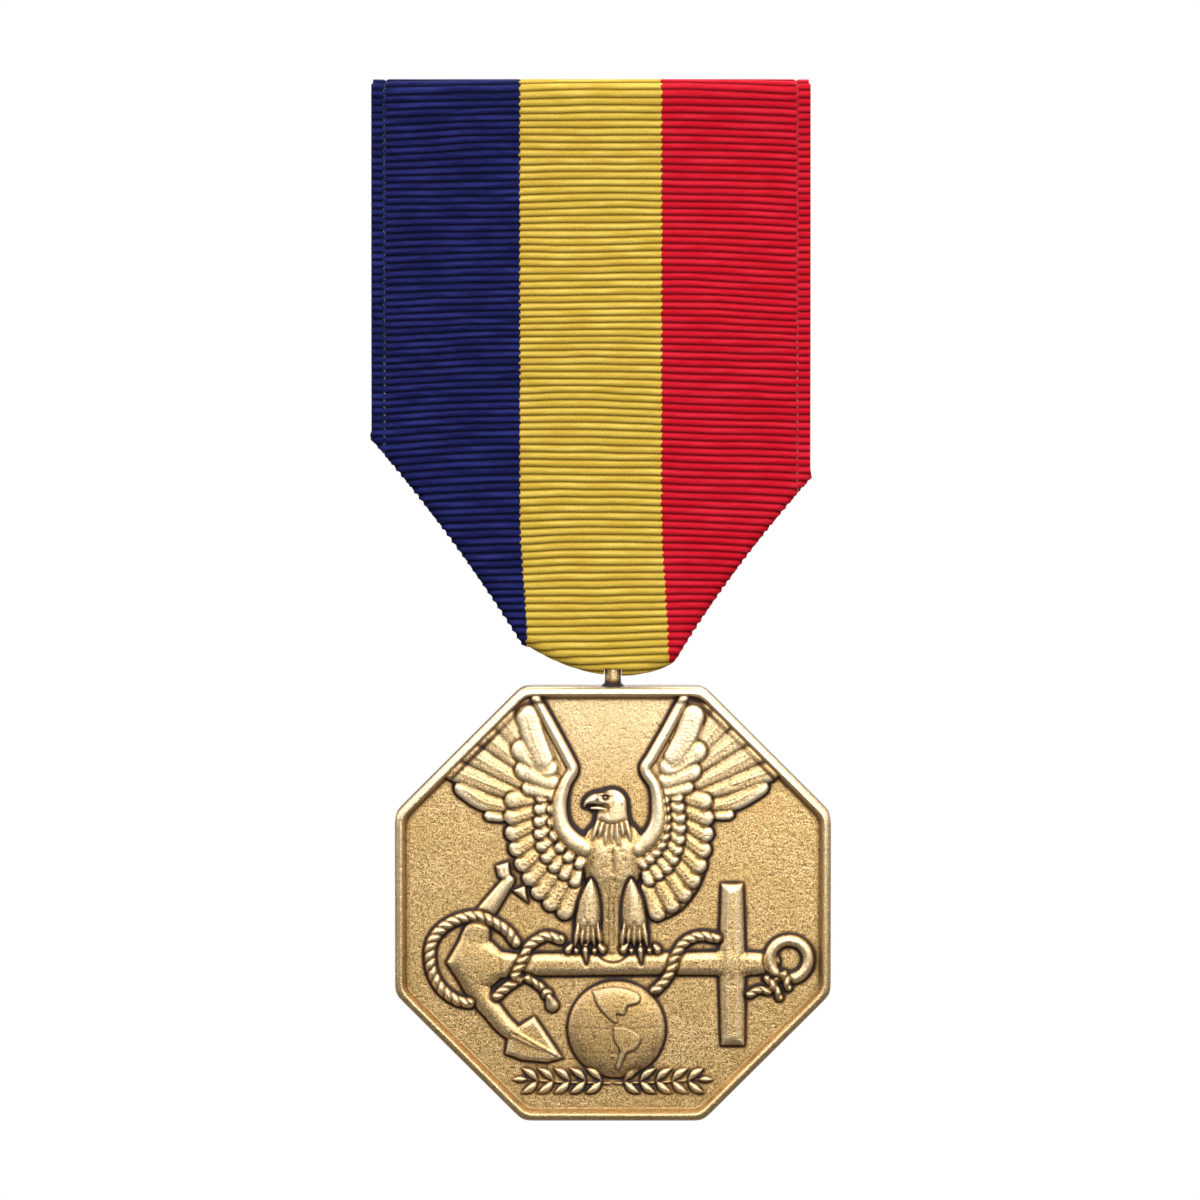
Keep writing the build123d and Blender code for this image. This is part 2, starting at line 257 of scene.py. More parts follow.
    def score(self, points, width, depth, dark=0.8):
        """A fine engraved line."""
        path = smooth_path([(x, z, width, 1.0) for x, z in points])
        win, _, gap, _, _ = self.bar(path)
        line = np.exp(-((np.maximum(gap + width, 0) / width) ** 2))
        self.height[win] -= depth * line
        self.ink[win] = np.maximum(self.ink[win], dark * line)

    def sample(self, field, x, z):
        """A map's value at any point, by bilinear interpolation."""
        u = np.clip((x + self.reach) / self.step, 0, self.size - 1.001)
        v = np.clip((z + self.reach) / self.step, 0, self.size - 1.001)
        i, j = np.floor(u).astype(int), np.floor(v).astype(int)
        fu, fv = u - i, v - j
        low = field[j, i] * (1 - fu) + field[j, i + 1] * fu
        high = field[j + 1, i] * (1 - fu) + field[j + 1, i + 1] * fu
        return low * (1 - fv) + high * fv


# ---- eagle ----
HEAD = (-0.4, 7.6)  # middle of the head and neck


def feather(relief, spine, half_width, low, high, root=0.75, tip_dark=0.6, side_dark=0.15):
    """One overlapping feather: narrow at the root, widest near its round tip, with a shaft and fine barbs.
    Patina marks its tip more than its sides."""
    spine = smooth_path(spine)
    t = np.linspace(0, 1, len(spine))
    width = 1.05 * half_width * (root + (1 - root) * np.sin(t * math.pi * 0.62))
    path = np.column_stack([spine, width, low + (high - low) * t**1.5])
    reach = np.hypot(*(spine[-1] - spine[-2])) + 1e-9
    path[-1, :2] -= (spine[-1] - spine[-2]) / reach * half_width * 0.3
    win, top, gap, along, side = relief.bar(path, power=4.0)
    length = along.max()
    barbs = 0.007 * np.cos(TAU * (along / 0.34 + 0.9 * np.abs(side)))
    shaft = 0.02 * np.exp(-((side / 0.1) ** 2))
    dark = side_dark + (tip_dark - side_dark) * smoothstep(0.8, 0.98, along / length)
    relief.lay(win, top + (barbs + shaft) * (gap < -0.08), gap, cut=0.05, dark=dark)


def tier(relief, roots, tips, count, half_width, low, high):
    """A row of feathers from a root line to a tip line, laid from the lowest up."""
    for root, tip in zip(spread(roots, count)[::-1], spread(tips, count)[::-1]):
        feather(relief, [root, tip], half_width, low, high)


def wing(relief, shape):
    """Silhouette, primaries, three tiers of shorter feathers, coverts, and the leading edge on top."""
    relief.lay(*relief.plate(shape["silhouette"], 0.34, 0.35))
    for spine, half_width in shape["primaries"]:
        feather(relief, spine, half_width, 0.44, 0.5, root=0.62, tip_dark=0.32)
    tier(relief, *shape["secondaries"], 0.7, 0.46, 0.56)
    tier(relief, *shape["middle"], 0.5, 0.56, 0.62)
    tier(relief, *shape["inner"], 0.46, 0.6, 0.65)
    for spine, half_width in shape["coverts"]:
        feather(relief, spine, half_width, 0.6, 0.58, root=0.9, tip_dark=0.45, side_dark=0.1)
    win, top, gap, _, side = relief.bar(smooth_path(shape["leading_edge"]), power=2.2)
    into_wing = (gap > 0) & relief.height[win].astype(bool) & (relief.outline_gap(
        smooth_path(shape["silhouette"] + shape["silhouette"][:1])[:-1], win) < 0)
    relief.lay(win, top, np.where(into_wing, gap + 1.0, gap))


LEFT_WING = {
    "silhouette": [(-6.7, 16.6), (-3.4, 11.2), (-3.9, 9.3), (-4.0, 6.6), (-2.6, 4.6), (-2.5, 2.2),
                   (-3.8, -0.9), (-6.0, 0.8), (-7.6, 3.2), (-8.2, 6.0), (-8.1, 8.2), (-7.5, 10.5),
                   (-8.0, 12.6), (-9.4, 15.0)],
    "leading_edge": [(-6.15, 16.5, 0.46, 0.66), (-4.77, 13.9, 0.5, 0.67), (-3.5, 11.5, 0.5, 0.68),
                     (-3.25, 10.7, 0.5, 0.68), (-3.85, 9.6, 0.52, 0.67), (-4.3, 8.0, 0.66, 0.66),
                     (-4.15, 6.3, 0.78, 0.66), (-3.3, 5.1, 0.86, 0.66), (-2.3, 4.5, 0.9, 0.66)],
    "primaries": [([(-8.3, 6.9), (-10.0, 7.1)], 0.42), ([(-8.2, 7.8), (-10.2, 8.2), (-12.0, 9.4)], 0.78),
                  ([(-7.6, 8.7), (-12.8, 10.8)], 0.86), ([(-7.2, 9.7), (-12.9, 13.0)], 0.95),
                  ([(-7.0, 11.0), (-11.6, 14.7)], 1.04), ([(-6.9, 12.2), (-9.9, 16.4)], 1.1)],
    "coverts": [([(-4.9, 9.0), (-6.8, 9.3)], 0.62), ([(-5.0, 9.8), (-7.15, 10.8)], 0.82),
                ([(-5.2, 10.9), (-7.35, 12.4)], 0.88), ([(-5.6, 11.6), (-6.3, 13.3), (-6.85, 15.2)], 0.95)],
    "secondaries": ([(-5.9, 8.6), (-6.1, 6.5), (-5.9, 4.8), (-5.0, 3.3), (-3.9, 2.1), (-2.9, 1.3)],
                    [(-8.1, 8.3), (-8.1, 6.0), (-7.6, 4.0), (-6.7, 2.1), (-5.5, 0.4), (-3.9, -0.7)], 9),
    "middle": ([(-5.0, 8.6), (-5.1, 6.6), (-4.8, 5.0), (-3.9, 3.6), (-2.7, 2.7)],
               [(-5.9, 8.6), (-6.0, 6.5), (-5.8, 4.6), (-4.9, 3.0), (-3.1, 1.7)], 9),
    "inner": ([(-4.1, 8.7), (-4.3, 7.0), (-4.0, 5.6), (-3.2, 4.5), (-2.4, 3.9)],
              [(-4.9, 8.6), (-4.95, 6.8), (-4.7, 5.3), (-3.9, 3.9), (-2.7, 3.1)], 7),
}

RIGHT_WING = {
    "silhouette": [(5.9, 16.6), (2.7, 11.2), (3.1, 9.3), (3.3, 6.4), (2.3, 4.7), (2.3, 1.8), (3.1, -1.1),
                   (5.0, -0.8), (6.6, 0.9), (7.5, 3.2), (7.6, 6.0), (7.4, 8.2), (6.6, 10.5), (7.2, 12.8),
                   (8.6, 15.4)],
    "leading_edge": [(5.65, 16.5, 0.46, 0.66), (4.47, 14.2, 0.48, 0.67), (3.11, 11.8, 0.48, 0.68),
                     (2.6, 10.8, 0.48, 0.68), (3.35, 9.5, 0.5, 0.67), (3.65, 8.0, 0.62, 0.66),
                     (3.62, 6.5, 0.74, 0.66), (3.05, 5.3, 0.82, 0.66), (2.1, 4.5, 0.9, 0.66)],
    "primaries": [([(7.7, 7.1), (9.4, 7.2)], 0.42), ([(7.6, 7.9), (9.6, 8.2), (11.8, 9.5)], 0.76),
                  ([(7.2, 8.8), (12.6, 10.7)], 0.82), ([(6.8, 9.7), (12.8, 12.8)], 0.92),
                  ([(6.5, 10.9), (11.6, 14.6)], 1.02), ([(6.8, 12.3), (9.8, 16.2)], 1.04)],
    "coverts": [([(4.2, 9.1), (6.0, 9.4)], 0.58), ([(4.3, 9.9), (6.4, 10.7)], 0.78),
                ([(4.5, 11.0), (6.75, 12.3)], 0.86), ([(4.9, 11.8), (5.8, 13.4), (6.4, 15.2)], 0.92)],
    "secondaries": ([(5.7, 8.6), (5.8, 6.6), (5.5, 4.8), (4.8, 3.2), (3.8, 2.1), (2.7, 1.3)],
                    [(7.4, 8.2), (7.5, 6.0), (7.2, 4.0), (6.5, 2.0), (5.3, 0.3), (3.6, -0.8)], 9),
    "middle": ([(4.6, 8.6), (4.7, 6.6), (4.4, 4.9), (3.6, 3.5), (2.5, 2.6)],
               [(5.3, 8.6), (5.5, 6.5), (5.3, 4.6), (4.6, 3.0), (3.0, 1.8)], 10),
    "inner": ([(3.7, 8.4), (3.8, 6.6), (3.5, 5.3), (2.8, 4.3), (2.2, 3.7)],
              [(4.2, 8.3), (4.3, 6.6), (4.1, 5.1), (3.4, 3.9), (2.5, 3.1)], 9),
}


def eagle_body(relief):
    """Neck, breast, belly and tail between the legs, as one form."""
    neck = [(-0.05, 8.05, 1.2, 0.6), (-0.05, 7.0, 1.28, 0.62), (-0.05, 5.9, 1.55, 0.62),
            (-0.05, 4.6, 1.9, 0.6)]
    trunk = [(0.0, 4.4, 2.5, 0.6), (-0.05, 2.9, 2.3, 0.6), (-0.1, 1.0, 2.0, 0.5),
             (0.0, -1.6, 1.7, 0.36), (0.0, -3.2, 1.4, 0.3)]
    win = relief.window([(-2.6, 9.4), (2.6, -4.8)], 0.6)
    _, neck_top, neck_gap, _, _ = relief.bar(smooth_path(neck), 2.4, win)
    _, trunk_top, trunk_gap, _, _ = relief.bar(smooth_path(trunk), 2.6, win)
    z = relief.z[win]
    shoulders = smoothstep(2.4, 3.4, z) * (1 - smoothstep(5.4, 6.0, z))
    edge = 1 - 0.9 * shoulders  # where they run into the wings the outline all but goes
    relief.lay(win, np.maximum(neck_top, trunk_top), np.minimum(neck_gap, trunk_gap),
               cut=GROOVE_CUT * edge, dark=0.8 * edge)
    for side in (-1, 1):
        relief.swell(1.15 * side, 4.1, 1.5, 0.07)
        relief.swell(1.0 * side, 2.4, 1.3, 0.05)
    relief.score([(0.0, 4.4), (0.05, 2.6)], 0.14, 0.05, dark=0.3)
    rng = np.random.default_rng(5)
    for _ in range(46):
        x, z = rng.uniform(-1.9, 1.9), rng.uniform(0.8, 5.0)
        relief.score([(x - 0.16, z + 0.05), (x, z - 0.1), (x + 0.16, z + 0.05)], 0.05, 0.018, dark=0.25)
    for x in (-0.35, 0.05, 0.45):
        relief.score([(x, 0.6), (x, -3.4)], 0.06, 0.05, dark=0.5)


def eagle_leg(relief, x, lean):
    """Feathered thigh with a ragged lower fringe that flares outward."""
    outer = [(x + lean * 1.15, -2.0), (x + lean * 1.35, -3.4)]
    relief.stroke([(*outer[0], 0.22, 0.44), (*outer[1], 0.08, 0.4)], dark=0.7)
    relief.stroke([(x, 1.95, 0.16, 0.58), (x + lean * 0.05, 1.2, 0.55, 0.62),
                   (x + lean * 0.15, 0.0, 0.9, 0.65), (x + lean * 0.25, -1.4, 1.05, 0.65),
                   (x + lean * 0.3, -2.2, 0.98, 0.62)], power=2.2, dark=1.0)
    for k in range(5):
        start, high = x + lean * 0.25 + (k - 2) * 0.4, -1.5 - 0.35 * (k % 2)
        relief.stroke([(start, high, 0.05, 0.6), (start + 0.05 * (k - 2), -2.6, 0.24, 0.62),
                       (start + 0.11 * (k - 2), -3.45, 0.05, 0.54)], cut=0.05, dark=0.35)
    for k in range(8):
        start = x + lean * 0.2 + (k % 3 - 1) * 0.42
        high = 0.5 - 0.5 * (k // 3)
        relief.score([(start, high), (start + 0.05, high - 0.6)], 0.05, 0.02, dark=0.2)


def eagle_foot(relief, x):
    """Three knuckled toes over the bar, small links between them, and one long claw."""
    for offset in (-1.35, 0.0, 1.35):
        relief.stroke([(x + offset * 0.85, -3.35, 0.24, 0.6), (x + offset, -3.65, 0.36, 0.66)], dark=0.5)
    for offset in (-0.72, 0.72):
        relief.ball(x + offset, -3.72, 0.27, 0.6, dark=0.5)
    claw = [(x, -3.7, 0.3, 0.68), (x + 0.04, -4.25, 0.17, 0.64), (x + 0.08, -4.75, 0.05, 0.56)]
    relief.stroke(claw, dark=0.8)


def eagle_head(relief):
    """Pointed locks over the neck, head in profile, hooked beak, brow and eye."""
    roots = [(-1.2, 6.6), (-0.1, 6.3), (1.1, 6.6)]
    tips = [(-1.6, 5.2), (-0.9, 4.85), (0.0, 4.6), (0.75, 4.95), (1.4, 5.1)]
    for k, (root, tip) in enumerate(zip(spread(roots, 7), spread(tips, 7))):
        tip = tip + [0, 0.4 * (k % 2)]
        middle = root * 0.45 + tip * 0.55
        relief.stroke([(*root, 0.18, 0.63), (*middle, 0.24, 0.66), (*tip, 0.05, 0.61)], cut=0.05, dark=0.36)
    rng = np.random.default_rng(9)
    for _ in range(22):
        x, z = rng.uniform(-1.0, 1.0), rng.uniform(6.0, 8.2)
        relief.score([(x, z), (x + 0.03, z - 0.35)], 0.04, 0.02, dark=0.2)
    relief.stroke([(-0.7, 8.35, 0.72, 0.62), (-1.5, 8.42, 0.46, 0.64), (-2.05, 8.2, 0.26, 0.62),
                   (-2.3, 7.82, 0.08, 0.52)], cut=0.02, dark=0.3)
    relief.stroke([(-0.7, 7.72, 0.3, 0.56), (-1.75, 7.72, 0.14, 0.5)], cut=0.05, dark=0.5)
    relief.score([(-2.1, 7.98), (-1.5, 8.02), (-0.6, 7.76)], 0.06, 0.12, dark=0.9)
    brow = [(-1.15, 8.78, 0.07, 0.68), (-0.7, 8.86, 0.1, 0.7), (-0.1, 8.78, 0.06, 0.66)]
    relief.stroke(brow, cut=0.05, dark=0.4)
    relief.ball(-0.6, 8.6, 0.14, 0.69, cut=0.1, dark=0.9)
    relief.ball(-1.25, 8.42, 0.06, 0.54, cut=0.05)


# ---- anchor, rope and globe ----
def anchor(relief):
    """An anchor on its side: crown and arms at the left, stock and ring at the right, as one casting."""
    win = relief.window([(-14, 4), (17, -13)], 0.3)
    bars = [
        ([(-11.2, -4.4, 1.55, 0.5), (-10.9, -2.4, 1.12, 0.5), (-10.2, -0.8, 0.8, 0.5),
          (-8.3, 1.9, 0.5, 0.48)], 2.2),
        ([(-11.2, -5.0, 1.55, 0.5), (-10.75, -6.9, 1.05, 0.5), (-9.75, -8.4, 0.84, 0.5),
          (-8.0, -10.3, 0.72, 0.5), (-4.6, -12.1, 0.25, 0.48)], 2.2),
    ]
    plates = [
        ([(-13.35, -4.7), (-11.9, -2.2), (-9.6, -3.0), (-8.6, -4.0), (-8.6, -5.7), (-9.9, -6.9),
          (-11.7, -7.2)], 0.5, 0.9),
        ([(-9.4, -3.7), (-7.5, -3.9), (3.0, -3.85), (8.2, -3.75), (9.3, -3.15), (10.3, -3.75), (13.2, -3.95),
          (13.4, -4.6), (13.2, -5.6), (10.9, -5.75), (9.5, -6.35), (8.2, -5.75), (3.0, -5.72), (-7.5, -5.82),
          (-9.6, -6.1)], 0.52, 0.75),
        ([(8.62, 1.7), (10.42, 1.7), (10.62, -4.7), (10.55, -11.4), (8.62, -11.4), (8.42, -4.7)],
         0.56, 0.75),
        ([(-7.5, -9.75), (-6.25, -8.95), (-3.95, -12.4), (-5.3, -12.75), (-7.3, -12.55), (-8.65, -12.05),
          (-8.45, -10.9)], 0.42, 0.4),
        ([(-9.4, 3.1), (-8.3, 3.45), (-8.1, 2.2), (-8.75, 1.85), (-9.2, 2.2)], 0.42, 0.3),
        ([(-8.1, 1.1), (-6.95, 1.6), (-6.75, 0.05)], 0.38, 0.25),
    ]
    top, gap = np.zeros_like(relief.x[win]), np.full(relief.x[win].shape, np.inf)
    for points, power in bars:
        _, bar_top, bar_gap, _, _ = relief.bar(smooth_path(points), power, win)
        top, gap = np.maximum(top, bar_top), np.minimum(gap, bar_gap)
    for outline, height, bevel in plates:
        _, plate_top, plate_gap = relief.plate(outline, height, bevel, smooth=False, win=win)
        top, gap = np.maximum(top, plate_top), np.minimum(gap, plate_gap)
    relief.lay(win, top, gap)
    relief.swell(-11.0, -4.8, 1.9, 0.05)
    relief.swell(9.5, -4.75, 1.4, 0.05)
    relief.score([(-8.15, -10.3), (-4.4, -12.3)], 0.08, 0.05, dark=0.4)
    relief.score([(8.5, -3.7), (8.6, -5.8)], 0.06, 0.04, dark=0.3)
    relief.score([(10.65, -3.8), (10.65, -5.7)], 0.06, 0.04, dark=0.3)
    ring_x, ring_z, ring_radius, ring_half = 14.07, -4.45, 1.54, 0.5
    ring = relief.window([(ring_x, ring_z)], 2.6)
    gap = np.abs(np.hypot(relief.x[ring] - ring_x, relief.z[ring] - ring_z) - ring_radius) - ring_half
    across = np.clip(1 + gap / ring_half, 0, 1)
    relief.lay(ring, 0.52 * np.sqrt(1 - across**2), gap)


def rope(relief, points, radius=0.44, height=0.56, pitch=0.72):
    """Twisted rope: rounded strands that slant across it, with dark lines between them."""
    path = smooth_path([(x, z, radius, height) for x, z in points])
    win, top, gap, along, side = relief.bar(path)
    strand = 0.5 + 0.5 * np.cos(TAU * (along / pitch + 0.42 * side))
    lay_line = (1 - strand) ** 3
    relief.lay(win, top * (1 - 0.28 * lay_line), gap, ink=0.55 * lay_line)


def ropes(relief):
    rope(relief, [(-7.75, -3.1), (-8.65, -2.0), (-10.6, -1.0), (-12.3, -1.2), (-13.7, -2.0), (-14.5, -3.2),
                  (-14.6, -4.6), (-14.3, -5.8), (-13.6, -6.9), (-12.5, -7.7), (-11.5, -7.95)], radius=0.48)
    rope(relief, [(-9.3, -7.4), (-8.4, -6.6), (-7.4, -5.95)])
    rope(relief, [(-7.85, -5.75), (-7.2, -4.5), (-6.8, -3.5), (-6.0, -2.85), (-5.2, -2.55), (-4.2, -2.85)],
         height=0.62)
    rope(relief, [(-6.8, -5.95), (-5.95, -6.5), (-5.45, -7.0)], radius=0.38)
    relief.ball(-5.25, -7.25, 0.5, 0.56)
    relief.stroke([(-5.1, -7.5, 0.3, 0.5), (-4.85, -8.15, 0.55, 0.4)])
    rope(relief, [(8.3, -2.75), (7.0, -2.55), (5.8, -3.0), (5.0, -4.1), (4.7, -5.2), (4.1, -6.2),
                  (3.3, -7.0)], height=0.62)
    rope(relief, [(10.9, -7.25), (11.7, -6.85), (12.5, -6.95), (13.0, -6.2)], radius=0.36)
    rope(relief, [(12.3, -5.95), (13.1, -6.9), (13.3, -7.5)], radius=0.34, height=0.6)
    rope(relief, [(13.7, -5.6), (14.0, -6.7)], radius=0.34, height=0.6)


def globe(relief):
    """A low dome with raised land and fine meridians."""
    x0, z0, radius = 0.3, -10.05, 3.93
    win = relief.window([(x0, z0)], radius + 0.6)
    dx, dz = relief.x[win] - x0, relief.z[win] - z0
    gap = np.hypot(dx, dz) - radius
    across = np.clip(1 + gap / radius, 0, 1)
    dome = 0.3 * (1 - across**8) ** (1 / 2) + 0.34 * np.sqrt(1 - across**2)
    relief.lay(win, dome, gap, ink=0.2)
    for bend in (-0.6, 0.55, 0.85):
        relief.score([(x0 + bend * radius * math.cos(a), z0 + radius * math.sin(a)) for a in
                      np.linspace(-1.1, 1.1, 7)], 0.05, 0.018, dark=0.25)
    for level in (-0.45, 0.05, 0.5):
        half = radius * math.sqrt(1 - level**2) * 0.95
        relief.score([(x0 - half, z0 + level * radius), (x0, z0 + level * radius - 0.18),
                      (x0 + half, z0 + level * radius)], 0.05, 0.018, dark=0.25)
    north = [(-1.7, -6.9), (0.2, -6.6), (2.0, -7.1), (2.1, -7.9), (1.2, -8.2), (0.9, -8.9), (0.3, -8.8),
             (0.35, -9.5), (-0.2, -9.3), (-1.2, -8.2)]
    south = [(0.0, -9.8), (1.1, -9.9), (2.2, -10.6), (1.9, -11.6), (1.1, -12.0), (0.6, -13.2), (0.2, -13.2),
             (0.5, -11.8), (0.1, -10.9)]
    for land in (north, south):
        land_win, land_top, land_gap = relief.plate(land, 0.1, 0.18)
        raised = relief.height[land_win] + np.where(land_gap < 0, land_top, 0)
        self_line = np.exp(-((land_gap / 0.07) ** 2))
        relief.height[land_win] = raised - 0.03 * self_line
        relief.ink[land_win] = np.maximum(relief.ink[land_win], 0.6 * self_line)


def laurel(relief):
    """A plain spray of leaves under the globe, to both sides of the middle."""
    z0 = -14.2
    for side in (-1, 1):
        relief.stroke([(0.2 * side, z0 - 0.2, 0.09, 0.22), (4.0 * side, z0 - 0.12, 0.1, 0.22),
                       (7.0 * side, z0 + 0.1, 0.06, 0.2)], dark=0.3)
        for k in range(5):
            x = (0.9 + 1.28 * k) * side
            for up in (-1, 1):
                tip = (x + 1.25 * side, z0 + 1.0 * up)
                middle = (x + 0.55 * side, z0 + 0.6 * up)
                leaf = [(x, z0, 0.07, 0.24), (*middle, 0.33, 0.34), (*tip, 0.04, 0.24)]
                relief.stroke(leaf, cut=0.08, dark=0.4)
                relief.score([(x, z0 + 0.05 * up), middle, tip], 0.04, 0.04, dark=0.3)
        relief.stroke([(6.9 * side, z0 + 0.1, 0.07, 0.24), (7.4 * side, z0 + 0.12, 0.26, 0.3),
                       (8.0 * side, z0 + 0.1, 0.04, 0.22)], dark=0.4)


def rim_profile(inset):
    """Height of the rim by distance in from the side: a rounded shoulder, then a soft fall to the field."""
    outer = 0.2 + (FRONT_RECESS - 0.2) * np.sqrt(1 - (1 - np.clip(inset / 0.5, 0, 1)) ** 2)
    return outer * (1 - smoothstep(0.52, 0.98, inset))


def pendant_relief():
    relief = Relief(reach=APOTHEM + 0.3, step=0.05)
    anchor(relief)
    ropes(relief)
    globe(relief)
    wing(relief, LEFT_WING)
    wing(relief, RIGHT_WING)
    eagle_body(relief)
    eagle_leg(relief, -1.75, -1)
    eagle_leg(relief, 1.45, 1)
    eagle_foot(relief, -2.2)
    eagle_foot(relief, 2.2)
    eagle_head(relief)
    laurel(relief)
    return relief


def finish_relief(relief):
    """Joins the rim, roughens the field, and works out where patina settles, and where the metal is paler:
    part wear on the crests, part painted highlight on crests and raised parts, painted lighter towards the
    top.
    """
    inset = APOTHEM - octagon_norm(relief.x, relief.z)
    struck = smoothstep(0.1, 0.16, relief.height) * smoothstep(0.9, 1.5, inset)
    beside = blurred(struck, 0.14 / relief.step) * (1 - struck)
    uneven = 0.75 + 0.35 * value_noise(relief.x / 2.5, relief.z / 2.5, 3)
    by_head = smoothstep(3.4, 2.6, np.hypot(relief.x - HEAD[0], relief.z - HEAD[1]))
    halo = 3.2 * by_head * blurred(struck, 0.22 / relief.step) * (1 - struck)
    relief.ink = np.maximum(relief.ink, np.clip(2.8 * beside * uneven + halo, 0, 1))
    rim = np.where(inset < RIM_WIDTH + 0.1, rim_profile(np.clip(inset, 0, None)), 0)
    relief.height = np.maximum(relief.height * smoothstep(0.05, 0.9, inset), rim)
    relief.ink *= smoothstep(0.25, 1.0, inset)
    grain = value_noise(relief.x / 0.17, relief.z / 0.17, 1)
    grain = grain + 0.15 * value_noise(relief.x / 0.4, relief.z / 0.4, 2)
    pits = smoothstep(0.65, 0.95, value_noise(relief.x / 0.25, relief.z / 0.25, 4))
    relief.height = np.minimum(blurred(relief.height, 0.9) + 0.005 * grain - 0.02 * pits, FRONT_RECESS)
    low = blurred(relief.height, 6.0) - relief.height
    wide = blurred(relief.height, 20.0) - relief.height
    hollow = np.clip(low / 0.12, 0, 1) * 0.28 + np.clip(wide / 0.5, 0, 1) * 0.15
    relief.ink = np.clip(blurred(relief.ink, 0.8) + hollow + 0.18 * pits, 0, 1)
    # Painted highlight: raised parts are made paler and crests paler still (partly wear, partly painted
    # highlight). All of it is stronger towards the top, and the upper field is painted paler, standing in for
    # light from above.
    painted_raised_highlight = 0.22 * smoothstep(0.45, 0.62, relief.height) * smoothstep(0.9, 1.5, inset)
    crests = np.clip(-low / 0.09, 0, 1) * (0.6 + 0.4 * smoothstep(1.0, 1.6, inset))
    painted_top_light = smoothstep(-8, 13, relief.z)
    painted_top_highlight = 0.36 * smoothstep(4, 16, relief.z)
    relief.worn = np.clip(np.clip(crests + painted_raised_highlight, 0, 1) * (0.5 + 0.5 * painted_top_light) + painted_top_highlight, 0, 1)


# ---- meshes ----
def make_object(name, vertices_mm, faces, material, attributes=None, smooth=True):
    """A mesh object from millimetre coordinates, with float attributes per vertex."""
    mesh = bpy.data.meshes.new(name)
    corners = faces.tolist() if isinstance(faces, np.ndarray) else faces
    mesh.from_pydata((np.asarray(vertices_mm) * MM).tolist(), [], corners)
    for key, values in (attributes or {}).items():
        mesh.attributes.new(key, "FLOAT", "POINT").data.foreach_set("value", np.asarray(values, np.float32))
    mesh.materials.append(material)
    mesh.polygons.foreach_set("use_smooth", np.full(len(mesh.polygons), smooth))
    mesh.update()
    obj = bpy.data.objects.new(name, mesh)
    bpy.context.scene.collection.objects.link(obj)
    return obj


def grid_faces(rows, columns):
    """Quads of a grid whose vertices are numbered row by row."""
    first = np.arange(rows - 1)[:, None] * columns + np.arange(columns - 1)[None, :]
    return np.stack([first, first + 1, first + columns + 1, first + columns], -1).reshape(-1, 4)


def ring_faces(first, second):
    """Quads between two closed loops of vertex numbers."""
    return np.stack([first, np.roll(first, -1), np.roll(second, -1), second], -1)


def pendant_mesh(material):
    """The struck front as a fine grid bent to the octagon, the side, and a plain reverse inside a low rim."""
    relief = pendant_relief()
    finish_relief(relief)
    cells = 500
    ticks = np.linspace(-1, 1, cells + 1)
    u, v = np.meshgrid(ticks, ticks)
    out = np.maximum(np.maximum(np.abs(u), np.abs(v)), 1e-9)
    scale = APOTHEM * out / np.maximum(octagon_norm(u, v), 1e-9)
    x, z = u * scale, v * scale
    front = PENDANT_LOW[1]
    y = front + FRONT_RECESS - relief.sample(relief.height, x, z)
    points = [np.stack([x, y, z], -1).reshape(-1, 3)]
    patina = [relief.sample(relief.ink, x, z).ravel()]
    # Paler colour for wear and for painted highlights, carried onto the mesh beside the patina.
    worn = [relief.sample(relief.worn, x, z).ravel()]
    n = cells + 1
    faces = [grid_faces(n, n)]
    edge = np.concatenate([np.arange(n - 1), np.arange(n - 1) * n + n - 1,
                           np.arange(n * n - 1, n * (n - 1), -1), np.arange(n - 1, 0, -1) * n])
    rim_x, rim_z = x.ravel()[edge], z.ravel()[edge]
    back = PENDANT_HIGH[1]
    roll = 0.28  # radius of the back edge
    side_rows = [(1.0, front + 0.55 + (back - roll - front - 0.55) * t, 0.62) for t in np.linspace(0, 1, 7)]
    turn_rows = [(1 - roll * (1 - math.cos(a)) / APOTHEM, back - roll + roll * math.sin(a), 0.25)
                 for a in np.linspace(0.3, math.pi / 2, 5)]
    inner = 1 - RIM_WIDTH / APOTHEM
    field = back - BACK_RECESS
    step_rows = [(inner + 0.01, back, 0.15), (inner + 0.004, back - 0.05, 0.45),
                 (inner - 0.004, field + 0.05, 0.95), (inner - 0.012, field, 0.8),
                 (inner - 0.03, field, 0.45)]
    fill_rows = [(inner * s, field, 0.25) for s in (0.9, 0.75, 0.6, 0.45, 0.3, 0.15, 0.05)]
    loop, count = edge, len(points[0])
    for share, level, dark in side_rows + turn_rows + step_rows + fill_rows:
        points.append(np.stack([rim_x * share, np.full(len(edge), level), rim_z * share], -1))
        patina.append(np.full(len(edge), dark))
        worn.append(np.full(len(edge), 0.6 if level == back else 0.1))
        new_loop = count + np.arange(len(edge))
        faces.append(ring_faces(loop, new_loop))
        loop, count = new_loop, count + len(edge)
    points.append([[0, field, 0]])
    patina.append([0.25])
    worn.append([0.1])
    quads = np.vstack(faces).tolist()
    fan = np.stack([loop, np.roll(loop, -1), np.full(len(loop), count)], -1).tolist()
    vertices = np.vstack(points) + [PENDANT_MIDDLE[0], 0, PENDANT_MIDDLE[2]]
    obj = make_object("struck_pendant", vertices, quads + fan, material,
                      {"patina": np.concatenate(patina), "worn": np.concatenate(worn)})
    return outward(obj)


def outward(obj):
    """Turns every face of a closed mesh outwards."""
    bm = bmesh.new()
    bm.from_mesh(obj.data)
    bmesh.ops.recalc_face_normals(bm, faces=bm.faces)
    bm.to_mesh(obj.data)
    bm.free()
    return obj


# ---- ribbon ----
RIB_PITCH, RIB_HEIGHT = 0.585, 0.15
SELVAGE = 1.05
DRIFT = 0.55  # how far the cloth has crept to the right at the bottom fold
SLIT_HALF = 0.69  # half width of the slit that the stem comes through
YELLOW_LEFT, YELLOW_RIGHT = -5.65, 5.61  # edges of the middle stripe
THREAD_PITCH = 0.19


